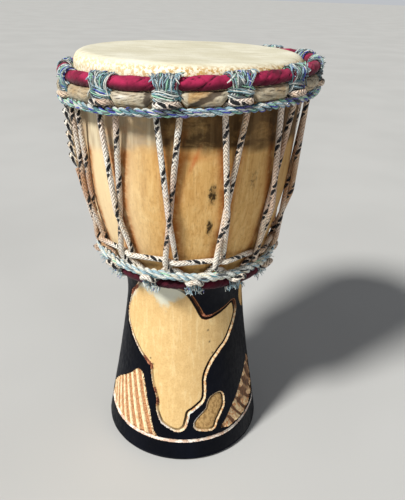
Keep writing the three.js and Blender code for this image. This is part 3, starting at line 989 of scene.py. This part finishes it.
def bowl_marks(angles, heights, points):
    """The values that the bowl's finish follows: marks, the rings' painted shadow below the rim, a painted
    highlight on the left, and rubs with the cord's painted shadow beside the cord.
    """
    # The painted shadow of the rings reaches down to this edge, lower at the left
    ring_shadow_edge = 0.337 - 0.011 * smoothstep(-15, -55, angles) - 0.003 * smoothstep(15, 40, angles)
    ring_shadow_edge += 0.004 * noise_of(points * [1, 1, 0.2], 60, 31)
    # Beside each leg: rubbed wood and the cord's painted shadow, a little to its right
    from_leg = np.abs(from_pair(angles - 0.8)) - np.abs(heights - CROSSING) * 60
    return {
        "mark": spots(
            angles, heights, (1.4, 12.4, 0.300, 2.1, 0.009), (1.7, 12.2, 0.270, 1.5, 0.007),
            (0.5, 0.7, 0.347, 7, 0.005), (0.5, 34, 0.310, 4, 0.012), (0.35, -12, 0.305, 1.5, 0.014),
        ),
        "blush": spots(angles, heights, (1, 2.8 + (heights - 0.328) * 250, 0.328, 1.0, 0.008)),
        "ring_shadow": smoothstep(-0.002, 0.003, heights - ring_shadow_edge),
        # An orange band just below the painted ring shadow
        "singed": spots(angles, heights, (0.8, 1.5, 0.3325, 8, 0.0035)),
        # Painted highlight on the left side of the bowl
        "pale": 0.6 * smoothstep(-12, -42, angles) * smoothstep(-170, -100, angles),
        "rub_and_cord_shadow": bell(from_leg, 0.9, 3.0),
    }


def make_shell(look):
    """The carved log: bowl, throat and stem, hollow and open below."""
    profile, outer_from = shell_rows()
    front = np.arange(CARVED_FROM, CARVED_TO, FINE_COLUMN)
    back = np.arange(CARVED_TO, CARVED_FROM + 360, BACK_COLUMN)
    angles, radii = np.meshgrid(np.concatenate([front, back]), profile[:, 0])
    heights = np.broadcast_to(profile[:, 1:], angles.shape)
    points = around(angles, radii, heights)
    wrapped = np.where(angles > 180, angles - 360, angles)
    stem_from = outer_from + np.argmax(profile[outer_from:, 1] < STEM_TOP + 0.002)
    stem, bowl = slice(stem_from, None), slice(outer_from, stem_from)
    values = defaultdict(lambda: np.zeros(angles.shape))
    for name in (*OUTLINES, "line"):
        values[f"{name}_off"] += FAR * MILLIMETRES
    values["raw"][:outer_from] = 1
    cuts = np.zeros(angles.shape)
    cuts[stem], stem_values = carve_stem(wrapped[stem], heights[stem], points[stem])
    cuts[bowl] = 0.0005 * noise_of(points[bowl], 28, 7) + 0.00015 * noise_of(points[bowl], 120, 9)
    bowl_values = bowl_marks(wrapped[bowl], heights[bowl], points[bowl])
    for rows, found in ((stem, stem_values), (bowl, bowl_values)):
        for name, value in found.items():
            values[name][rows] = value
    shape = Shape()
    shape.grid((points - outward(angles, cuts))[::-1], wrap_rows=True, wrap_columns=True,
               **{name: value[::-1] for name, value in values.items()})
    shape.piece("drum_shell", look, "shell_wood", "carved_shell")


# The head and its rings

def head_rows():
    """The skin's profile from the middle, round its rolled edge and back inside, and the roll's rows."""
    round_at = SIDE_RADIUS - EDGE_ROUND, HEIGHT - EDGE_ROUND
    before = np.concatenate([
        np.linspace((0, HEIGHT), (round_at[0], HEIGHT), 26),
        arc(*round_at, EDGE_ROUND, 90, 0, 12)[1:],
        np.linspace((SIDE_RADIUS, 0.3885), (SIDE_RADIUS + 0.0004, SKIRT_HEIGHT), 6),
    ])
    roll = arc(*HIDE_ROLL[:2], HIDE_ROLL.thick / 2, 150, -165, 34)
    after = np.concatenate([
        [[SIDE_RADIUS - 0.0007, SKIRT_HEIGHT - 0.002]],
        arc(*round_at, EDGE_ROUND - SKIN, 0, 90, 6),
        np.linspace((round_at[0], HEIGHT - SKIN), (0, HEIGHT - SKIN), 8)[1:],
    ])
    return np.concatenate([before, roll, after]), slice(len(before), len(before) + len(roll))


def slanted(angles, heights):
    """Angles taken along the slant of the long fold in the rolled skin."""
    return angles - (heights - 0.374) * 1057


def roll_creases(angles, radii, heights, points):
    """How deep the rolled skin is creased, which also sets its painted shade: slanting ridges, one long fold
    and a seam.
    """
    section = np.arctan2(heights - HIDE_ROLL.height, radii - HIDE_ROLL.radius)
    ridges = np.zeros(angles.shape)
    random = np.random.default_rng(21)
    for _ in range(8):
        along, over = random.integers(3, 26), random.integers(2, 6)
        strength = 0.5 + 0.5 * noise_of(points, 30, random.integers(50))
        wave = np.sin(along * np.radians(angles) + over * section + random.uniform(0, 7))
        ridges += strength * (1 - np.abs(wave)) ** 4
    fold = bell(slanted(angles, heights), 2.5, 2.0)
    seam = bell(angles, 360 - 15.2, 0.9)
    return np.clip(ridges / 2.2 + 1.2 * fold + seam, 0, 1)


def make_head(look):
    """One skin over the rim and down the side, its edge rolled up round the hoop."""
    profile, roll_rows = head_rows()
    angles, radii = np.meshgrid(np.linspace(0, 360, PAIRS * 38, endpoint=False), profile[:, 0])
    heights = np.broadcast_to(profile[:, 1:], angles.shape)
    points = around(angles, radii, heights)
    on_roll = np.zeros(angles.shape)
    on_roll[roll_rows] = 1
    on_side = smoothstep(HEIGHT - 0.0006, HEIGHT - 0.0045, heights) * (1 - on_roll)
    crease = roll_creases(angles, radii, heights, points) * on_roll
    values = {
        # The creases of the rolled skin also set its painted shade
        "side": on_side, "roll": on_roll, "fold": crease * 0.9,
        "gleam": spots(angles, heights, (0.75, 360 - 25.5, 0.379, 2.2, 0.0012)) * on_roll,
        "tan": 0.9 * on_roll * bell(slanted(angles, heights), -4.5, 5.5),
    }
    tied = near_pair(angles, near=4.6, far=7.8)
    swell = 0.10 + 0.08 * noise_of(points, 42, 11) + 0.05 * noise_of(points, 120, 12)
    size = 1 + on_roll * (swell * (1 - tied) - ROLL_SQUEEZE * tied - 0.15 * crease)
    radii = radii + (size - 1) * (radii - HIDE_ROLL.radius)
    heights = heights + (size - 1) * (heights - HIDE_ROLL.height) + on_roll * tied * ROLL_RAISE
    points = around(angles, radii, heights)
    wool = 0.0004 * noise_of(points, 210, 13) + 0.00025 * noise_of(points, 600, 14)
    points += outward(angles, wool * on_side)
    ripple = 0.00035 * noise_of(points * [0.25, 1, 1], 60, 15) - 0.0002
    points[..., 2] += ripple * (1 - on_side) * (1 - on_roll)
    drop = smoothstep(SKIRT_HEIGHT + 0.006, SKIRT_HEIGHT, points[..., 2])[..., None]
    points = points * (1 - drop) + leaning(points) * drop
    shape = Shape()
    shape.grid(points[::-1], wrap_columns=True, **{name: value[::-1] for name, value in values.items()})
    shape.piece("goatskin", look, "goat_hide", "goatskin_head")


def make_cloth_ring(name, look, ring, node, wraps, middle, squeeze, seed):
    """A ring wound with a strip of cloth, drawn in where it is tied."""
    columns = np.linspace(0, 360, PAIRS * 54, endpoint=False)
    angles, sections = np.meshgrid(columns, np.linspace(0, 2 * np.pi, 30, endpoint=False))
    lengthwise = around(angles, ring.radius, ring.height)
    drift = 1.2 * noise_of(lengthwise, 30, seed + 5)
    phase = np.mod(wraps * angles / 360 + sections / (2 * np.pi) + drift, 1)
    lap = smoothstep(0, 0.10, phase) * (1 - phase)
    random = np.random.default_rng(seed)
    creases = np.zeros(angles.shape)
    for _ in range(7):
        along, over = random.integers(11, 44), random.integers(1, 3)
        start = along * np.radians(angles) - over * sections + random.uniform(0, 7)
        wave = np.sin(start + 1.5 * noise_of(lengthwise, 40, random.integers(60)))
        strength = np.clip(0.2 + 1.6 * noise_of(lengthwise, 45, random.integers(60)), 0, 1)
        creases += strength * (1 - np.abs(wave)) ** 9
    creases = np.clip(creases, 0, 1)
    plump = 1.08 - squeeze * near_pair(angles, middle) + 0.05 * noise_of(lengthwise, 60, seed + 3)
    size = ring.thick / 2 * plump + 0.0003 * lap - 0.0012 * creases
    points = leaning(around(angles, *on_ring(ring, size, sections)))
    # Painted shade: darker on the ring's underside, in its creases and at the edges of its laps
    underside_shade = 0.5 * smoothstep(0.6, -0.5, np.sin(sections))
    shape = Shape()
    shape.grid(points, wrap_rows=True, wrap_columns=True,
               fold=np.maximum.reduce([creases * 0.7, smoothstep(0.10, 0.0, phase) * 0.4, underside_shade]))
    shape.piece(name, look, "red_cloth", node)


# Yarns

YARN_TWIST = 0.0022
ROPE_STEP = 0.00135
TANGLE = 220


def dyed(random, lines, spread, weights):
    """The colours along each yarn: patches of the dyes, each about spread steps long."""
    names = list(weights)
    chances = np.array([weights[name] for name in names], float)
    steps = lines.shape[1]
    result = []
    for _ in lines:
        colours = np.empty((steps, 4))
        at = 0
        while at < steps:
            patch = max(int(spread * random.uniform(0.5, 1.5)), 1)
            colours[at:at + patch] = YARN_DYES[random.choice(names, p=chances / chances.sum())]
            at += patch
        colours[:, :3] *= random.uniform(0.82, 1.12)
        result.append(colours)
    return result


def make_rope(name, look, ring, node, plump, turns, dyes, spread, seed):
    """A rope of three plies, each of six yarns."""
    random = np.random.default_rng(seed)
    half = plump * ring.thick / 2
    angles = np.linspace(0, 360, int(2 * np.pi * ring.radius / ROPE_STEP), endpoint=False)
    line = leaning(around(angles, ring.radius, ring.height))[None]
    line[..., 2] += 0.0007 * noise_of(line, 45, seed)
    uneven = half * (1 + 0.14 * noise_of(line, 70, seed + 1))
    plies = tangled(wound(line, uneven[..., None] * 0.58, turns, 3), 0.0005 * plump, 110, seed)
    yarns = wound(plies, half * 0.30, -round(turns * 1.3), 6)
    yarns = yarns + 0.00022 * drift_of(yarns, 330, seed)
    colours = dyed(random, yarns, spread, dyes)
    sizes = np.array([[half * random.uniform(0.14, 0.22)] for _ in yarns])
    shape = Shape()
    shape.tubes(yarns, sizes, 5, YARN_TWIST, colours, closed=True)
    shape.piece(name, look, "mixed_yarn", node)


def placed(middle, across, radius, height):
    """Points from distances along the ring, radii and heights, at a lashing."""
    return leaning(around(middle + np.degrees(across / radius), radius, height))


def strand_paths(knots, steps):
    """A smooth line of that many steps through each list of knots."""
    fine = np.linspace(0, 1, steps)
    paths = np.array([
        np.stack([np.interp(fine, np.linspace(0, 1, len(points)), points[:, k]) for k in range(3)], -1)
        for points in knots
    ])
    kernel = np.array([1, 2, 3, 2, 1]) / 9
    padded = np.pad(paths, ((0, 0), (2, 2), (0, 0)), "edge")
    return sum(w * padded[:, k:k + steps] for k, w in enumerate(kernel))


def crown_lines(middle, random, count=24):
    """Yarns over the crown ring and on round the rolled hide."""
    knots = []
    for k in range(count):
        layer = 0.0003 + 0.0006 * (k % 3) + random.uniform(0, 0.0003)
        across = (k / (count - 1) - 0.5) * 0.0175 + random.uniform(-0.001, 0.001)
        slant = random.uniform(-0.010, 0.010)
        crown = arc(*CROWN_RING[:2], CROWN_RING.thick / 2 + layer, 215, -12, 9)
        roll_size = HIDE_ROLL.thick / 2 * (1 - ROLL_SQUEEZE) + layer
        roll = arc(HIDE_ROLL.radius, HIDE_ROLL.height + ROLL_RAISE, roll_size, 38, -62, 5)
        profile = np.concatenate([crown, roll])
        along = np.linspace(0, 1, len(profile))
        spread = across * (1.12 - 0.30 * bell(along, 0.66, 0.14)) + slant * (along - 0.5)
        knots.append(placed(middle, spread, *profile.T))
    return knots


def roll_lines(middle, random, count=22):
    """Yarns wound slanting across the front of the rolled hide."""
    knots = []
    share = np.linspace(-1, 1, 9)
    for k in range(count):
        reach = 0.0104 * random.uniform(0.85, 1.1)
        turn = np.radians(70 - k * 6.4 - 20 * share + random.uniform(-8, 8))
        layer = 0.0018 + 0.0006 * (k % 3) + random.uniform(0, 0.0005)
        tuck = smoothstep(0.55, 1.0, np.abs(share)) * 0.0036
        size = HIDE_ROLL.thick / 2 * (1 - ROLL_SQUEEZE) + layer - tuck
        radii = HIDE_ROLL.radius + size * np.cos(turn)
        heights = HIDE_ROLL.height + ROLL_RAISE + 0.0008 + 1.2 * size * np.sin(turn)
        knots.append(placed(middle, share * reach, radii, heights))
    return knots


def tuft_lines(middle, random, count=20):
    """Short thick ends lying every way over the top of the crown ring."""
    knots = []
    share = np.linspace(-1, 1, 5)
    size = CROWN_RING.thick / 2 + np.array([0.0012, 0.0021, 0.0024, 0.0022, 0.0026])
    for _ in range(count):
        turn = np.radians(random.uniform(15, 125) + share * random.uniform(10, 45))
        across = random.uniform(-0.0105, 0.0105) + share * random.uniform(-0.004, 0.004)
        knots.append(placed(middle, across, *on_ring(CROWN_RING, size, turn)))
    return knots


def fray_lines(middle, random, ring, count, low, high, wide, length):
    """Loose ends that stand off a ring between two angles of its section."""
    knots = []
    t = np.linspace(0, 1, 6)[:, None]
    for _ in range(count):
        turn = math.radians(random.uniform(low, high))
        across = random.uniform(-wide, wide)
        start = np.array([*on_ring(ring, ring.thick / 2 + 0.0006, turn), across])
        way = unit(np.array([math.cos(turn), math.sin(turn), random.uniform(-1.2, 1.2)]))
        bend = random.normal(0, 0.5, 3)
        reach = length * random.uniform(0.4, 1.0)
        radii, heights, across = (start + reach * (t * way + t * t * 0.6 * bend)).T
        knots.append(placed(middle, across, radii, heights))
    return knots


def base_lines(middle, random, count=15):
    """Yarns round the outside of the base ring."""
    knots = []
    for k in range(count):
        layer = 0.0004 + 0.0007 * (k % 2) + random.uniform(0, 0.0003)
        profile = arc(*BASE_RING[:2], BASE_RING.thick / 2 + layer, 80, -110, 10)
        across = (k / (count - 1) - 0.5) * 0.012 + random.uniform(-0.0008, 0.0008)
        along = np.linspace(-0.5, 0.5, len(profile))
        spread = across * (1 + 0.25 * along) + random.uniform(-0.003, 0.003) * along
        knots.append(placed(middle, spread, *profile.T))
    return knots


def make_crown_lashing(number, look):
    """One bundle of yarn over the crown ring and the rolled hide."""
    random = np.random.default_rng(100 + number)
    middle = FRONT_PAIR + (number - 1) * PITCH
    shape = Shape()

    over = tangled(strand_paths(crown_lines(middle, random), 32), 0.0006, TANGLE, number)
    shape.yarns(over, 0.00054, 5, random, 18, CROWN_DYES)
    cross = tangled(strand_paths(roll_lines(middle, random), 20), 0.0005, TANGLE, number)
    shape.yarns(cross, 0.00052, 5, random, 14, ROLL_DYES)
    tufts = strand_paths(tuft_lines(middle, random), 9)
    shape.yarns(tufts, 0.0006 * np.sin(np.linspace(0.5, 2.9, 9)), 5, random, 7, FRAY_DYES)
    frays = strand_paths(
        fray_lines(middle, random, CROWN_RING, 18, 40, 150, 0.0095, 0.0030)
        + fray_lines(middle, random, CROWN_RING, 12, -20, 40, 0.0105, 0.0028), 8)
    shape.yarns(frays, np.linspace(0.00042, 0.00022, 8), 4, random, 6, FRAY_DYES)
    shape.piece(f"crown_yarn_{number:02d}", look, "mixed_yarn", f"crown_lashing_{number:02d}")


def make_base_lashing(number, look):
    """One tie round the base ring, frayed below."""
    random = np.random.default_rng(300 + number)
    middle = FRONT_PAIR + (number - 0.5) * PITCH
    shape = Shape()
    tie = tangled(strand_paths(base_lines(middle, random), 26), 0.0005, TANGLE, number)
    shape.yarns(tie, 0.0005, 5, random, 18, BASE_DYES)
    frays = strand_paths(fray_lines(middle, random, BASE_RING, 34, -80, 0, 0.0090, 0.0060), 9)
    shape.yarns(frays, np.linspace(0.00056, 0.00026, 9), 4, random, 12, BASE_FRAY_DYES)
    shape.piece(f"base_yarn_{number:02d}", look, "mixed_yarn", f"base_lashing_{number:02d}")


# The tension cord

CORD_STEP = 0.0010
CORD_SOFTNESS = 0.0016
LINKS = 6
LINK_WIDE = 0.0056
LINK_RADIUS = 0.0025
CORD_WHITE = srgb(255, 253, 244)
CORD_ROSY = srgb(248, 218, 200)
# Painted shade on the cord
CORD_SHADE_TAN = srgb(190, 132, 82)


def cord_places(places, middle):
    """Points of the cord from places whose angles count from middle."""
    angle, radius, height = np.array(places, float).T
    return leaning(around(middle + angle, radius, height))


def cord_route():
    """The cord's whole route up to its chained end."""
    firsts = [TAIL_ANGLE + PITCH / 2 + i * PITCH for i in range(PAIRS)]
    legs = np.concatenate([cord_places(LACING, first) for first in firsts])[:-len(RISE)]
    level = [cord_places(LEVEL_RUN, first) for first in firsts]
    return np.concatenate([legs, cord_places(RISE, TAIL_ANGLE), *level, cord_places(TAIL, TAIL_ANGLE)])


def chain_lines():
    """The chained end: each loop drawn through the one below it."""
    low, high = cord_places(CHAIN, TAIL_ANGLE)
    along = unit(high - low)
    sideways = unit(np.cross(along, around(TAIL_ANGLE, 1.0, 0.0)))
    out = np.cross(sideways, along)
    gap = np.linalg.norm(high - low) / LINKS
    turn = np.linspace(0, 2 * np.pi, 30)[:, None]
    reach = gap * (0.5 + 0.95 * (0.5 - 0.5 * np.cos(turn)))
    wide = LINK_WIDE * np.sin(turn) * (0.75 + 0.25 * np.cos(turn))
    lift = 0.0024 * np.cos(turn) - 0.0012
    loop = low + along * reach + sideways * wide - out * lift
    return np.array([loop + along * i * gap for i in range(LINKS)])


def cord_tints(route):
    """The cord's colour along it: near white, rosy in places, with painted shade in tan on the legs that lie
    underneath and on the legs towards the sides.
    """
    angles = np.degrees(np.arctan2(route[:, 0], -route[:, 1]))
    heights = route[:, 2]
    # Painted shade: tan on the legs that lie underneath and on the legs towards the sides
    under = smoothstep(-0.6, 0.6, from_pair(angles) * np.sign(heights - CROSSING))
    tan = under * smoothstep(0.245, 0.260, heights) * np.clip(0.45 + 1.1 * noise_of(route, 24, 61), 0, 1)
    sides = smoothstep(38, 60, np.abs(angles + 6)) * np.clip(0.5 + noise_of(route, 30, 62), 0, 1)
    rosy = np.clip(1.4 * noise_of(route, 20, 63), 0, 0.5)
    tint = np.array(CORD_WHITE)
    for share, colour in ((rosy, CORD_ROSY), (np.maximum(tan, sides), CORD_SHADE_TAN)):
        tint = tint + share[:, None] * (np.array(colour) - tint)
    return tint


def make_cord(look):
    """One length of braided cord, laced round the bowl, run round level and chained up the left."""
    shape = Shape()
    route = routed(cord_route(), CORD_STEP, CORD_SOFTNESS)
    shape.tubes(route[None], CORD / 2, 12, TRACER_TURN, [cord_tints(route)])
    shape.tubes(chain_lines(), LINK_RADIUS, 10, TRACER_TURN * 1.6, [CORD_WHITE] * LINKS)
    shape.piece("laced_cord", look, "cream_cord", "tension_cord")


# The camera, the floor and the light

CAMERA_PLACE = (0, -0.4997, 0.4483)
CAMERA_DOWN = math.radians(25.82)
CAMERA_YAW = math.radians(-1.94)
CAMERA_ROLL = math.radians(2.03)
IMAGE_HEIGHT = 500
FOCAL_PIXELS = 540.7
FILM = 36
FLOOR_BELOW = 0.0002
AIM = Vector((0, 0, 0.22))

# The sky's colour, and how strong it is to the camera and to the drum
SKY = (0.92, 0.95, 1)
SKY_SEEN = 0.56
SKY_LIGHT = 0.16


def make_camera():
    """The photo's camera."""
    data = bpy.data.cameras.new("view")
    data.sensor_fit = "VERTICAL"
    data.sensor_height = FILM
    data.lens = FOCAL_PIXELS / IMAGE_HEIGHT * FILM
    data.clip_start = 0.01
    camera = scene_object("view", data)
    tilt = Matrix.Rotation(math.pi / 2 - CAMERA_DOWN, 4, "X")
    turn = Matrix.Rotation(CAMERA_YAW, 4, "Z")
    roll = Matrix.Rotation(CAMERA_ROLL, 4, "Z")
    camera.matrix_world = Matrix.Translation(CAMERA_PLACE) @ turn @ tilt @ roll
    bpy.context.scene.camera = camera


def make_floor():
    """A plain pale floor."""
    look = Look("floor")
    cloud = look.noise(look.place(), 3, 2, 0.55)
    material = look.finish(look.tones(cloud, 0.3, 0.7, (196, 196, 194), (202, 202, 200)), 0.8)
    angles, radii = np.meshgrid(np.linspace(0, 360, 64, endpoint=False), [0.01, 0.5, 2, 8, 30])
    shape = Shape()
    shape.grid(around(angles, radii, -FLOOR_BELOW), wrap_columns=True)
    floor = shape.made("floor", material)


def make_light(name, kind, side, elevation, distance, **settings):
    """A light aimed at the drum's middle, from a side and an elevation in degrees."""
    data = bpy.data.lights.new(name, kind)
    for setting, value in settings.items():
        setattr(data, setting, value)
    light = scene_object(name, data)
    rise = math.radians(elevation)
    way = Vector(around(side, math.cos(rise), math.sin(rise)))
    light.location = AIM + way * distance
    light.rotation_euler = way.to_track_quat("Z", "Y").to_euler()


def make_sky():
    """An even sky that is brighter to the camera than to the drum."""
    world = bpy.data.worlds.new("studio")
    world.use_nodes = True
    nodes, links = world.node_tree.nodes, world.node_tree.links
    nodes["Background"].inputs["Color"].default_value = (*SKY, 1)
    strength = nodes.new("ShaderNodeMath")
    strength.operation = "MULTIPLY_ADD"
    strength.inputs[1].default_value = SKY_SEEN - SKY_LIGHT
    strength.inputs[2].default_value = SKY_LIGHT
    links.new(nodes.new("ShaderNodeLightPath").outputs["Is Camera Ray"], strength.inputs[0])
    links.new(strength.outputs[0], nodes["Background"].inputs["Strength"])
    bpy.context.scene.world = world
    bpy.context.scene.view_settings.view_transform = "Standard"


make_camera()
make_floor()
make_light("key", "SUN", -50, 44, 0, angle=math.radians(11), energy=4.04, color=(1, 0.985, 0.95))
make_light("fill", "AREA", 46, 24, 2.4, shape="SQUARE", size=1.4, energy=6, color=SKY)
make_sky()
make_shell(wood_look())
make_head(hide_look())
crimson = cloth_look("crimson_cloth", (100, 10, 42), (184, 40, 86))
make_cloth_ring("crown_cloth", crimson, CROWN_RING, "crown_ring",
                wraps=30, middle=FRONT_PAIR, squeeze=0.14, seed=31)
# Painted shade: the base ring's cloth is the crown ring's crimson, darkened for the shadow it lies in
shaded_crimson = cloth_look("shaded_crimson_cloth", (52, 8, 22), (96, 14, 38))
make_cloth_ring("base_cloth", shaded_crimson, BASE_RING, "base_ring",
                wraps=26, middle=FRONT_PAIR + PITCH / 2, squeeze=0.08, seed=41)
yarn = yarn_look()
make_rope("upper_yarn_rope", yarn, UPPER_ROPE, "upper_rope",
          plump=1.14, turns=36, dyes=UPPER_ROPE_DYES, spread=14, seed=51)
make_rope("lower_yarn_rope", yarn, LOWER_ROPE, "lower_rope",
          plump=1.3, turns=25, dyes=LOWER_ROPE_DYES, spread=9, seed=52)
for number in range(1, PAIRS + 1):
    make_crown_lashing(number, yarn)
    make_base_lashing(number, yarn)
make_cord(cord_look())
